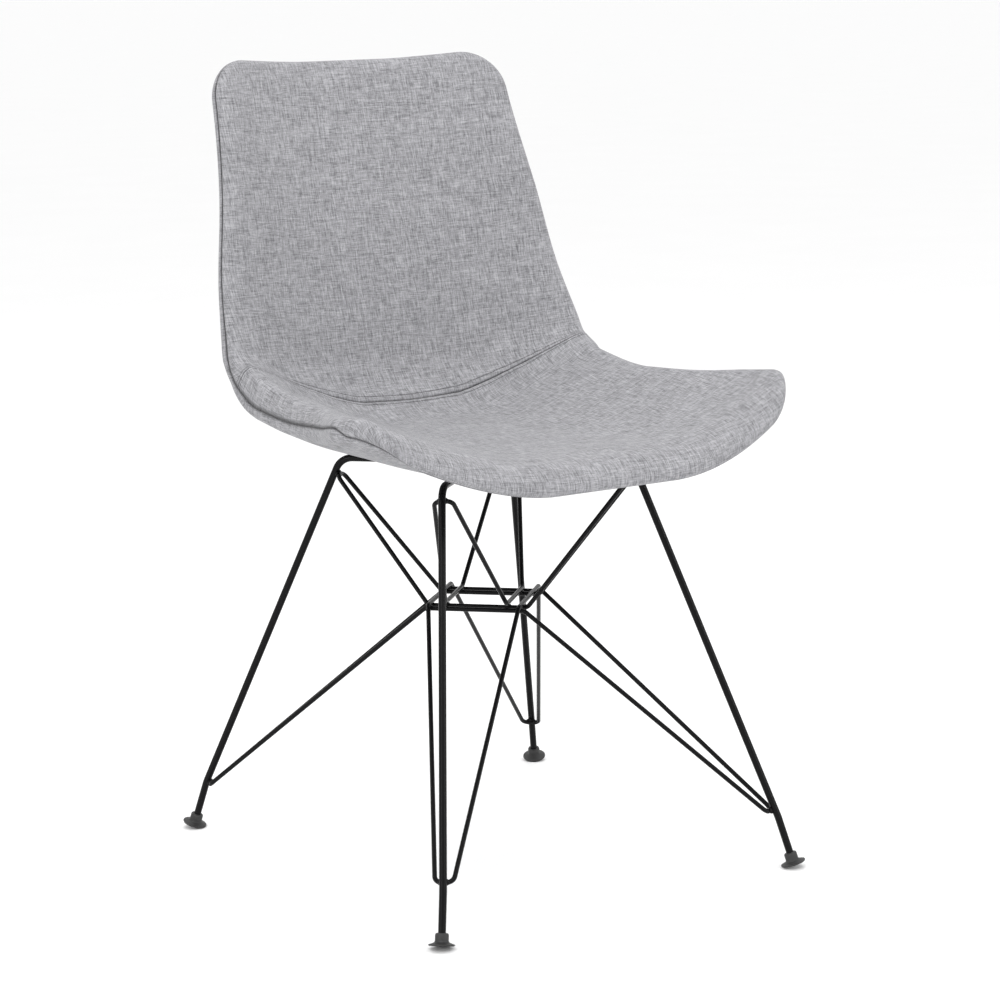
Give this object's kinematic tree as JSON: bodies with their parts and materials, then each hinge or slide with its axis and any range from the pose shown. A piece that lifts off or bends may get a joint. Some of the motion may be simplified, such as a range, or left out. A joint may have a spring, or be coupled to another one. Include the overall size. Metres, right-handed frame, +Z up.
{
  "type": "dining chair",
  "caption": "Upholstered one-piece bucket shell chair in light grey weave on a black welded rod base with crossing wire braces and round push-on feet.",
  "frame": {"origin": "on the floor, below the middle of the whole chair", "axes": "+Z up; the chair faces -Y; +X is the sitter's left"},
  "size_m": [0.5436, 0.5584, 0.8665],
  "materials": {
    "powder_steel": "satin",
    "foot_plastic": "matt",
    "pad_rubber": "matt",
    "zinc_steel": "satin",
    "moulded_shell": "matt",
    "foam": "matt",
    "seat_fabric": "linen weave"
  },
  "bodies": {
    "root": {"leg_front_left": "powder_steel", "leg_front_right": "powder_steel", "leg_rear_left": "powder_steel", "leg_rear_right": "powder_steel", "upper_brace_a": "powder_steel", "upper_brace_b": "powder_steel", "lower_brace_a": "powder_steel", "lower_brace_b": "powder_steel", "glide_front_left": "foot_plastic", "glide_front_right": "foot_plastic", "glide_rear_left": "foot_plastic", "glide_rear_right": "foot_plastic", "mounting_plate": "powder_steel", "mount_pad": "pad_rubber", "plate_screws": "zinc_steel", "plate_washers": "zinc_steel", "t_nuts": "zinc_steel", "shell": "moulded_shell", "seat_foam": "foam", "back_foam": "foam", "seat_cover": "seat_fabric", "back_cover": "seat_fabric", "outer_seat_cover": "seat_fabric", "outer_back_cover": "seat_fabric"}
  },
  "joints": []
}
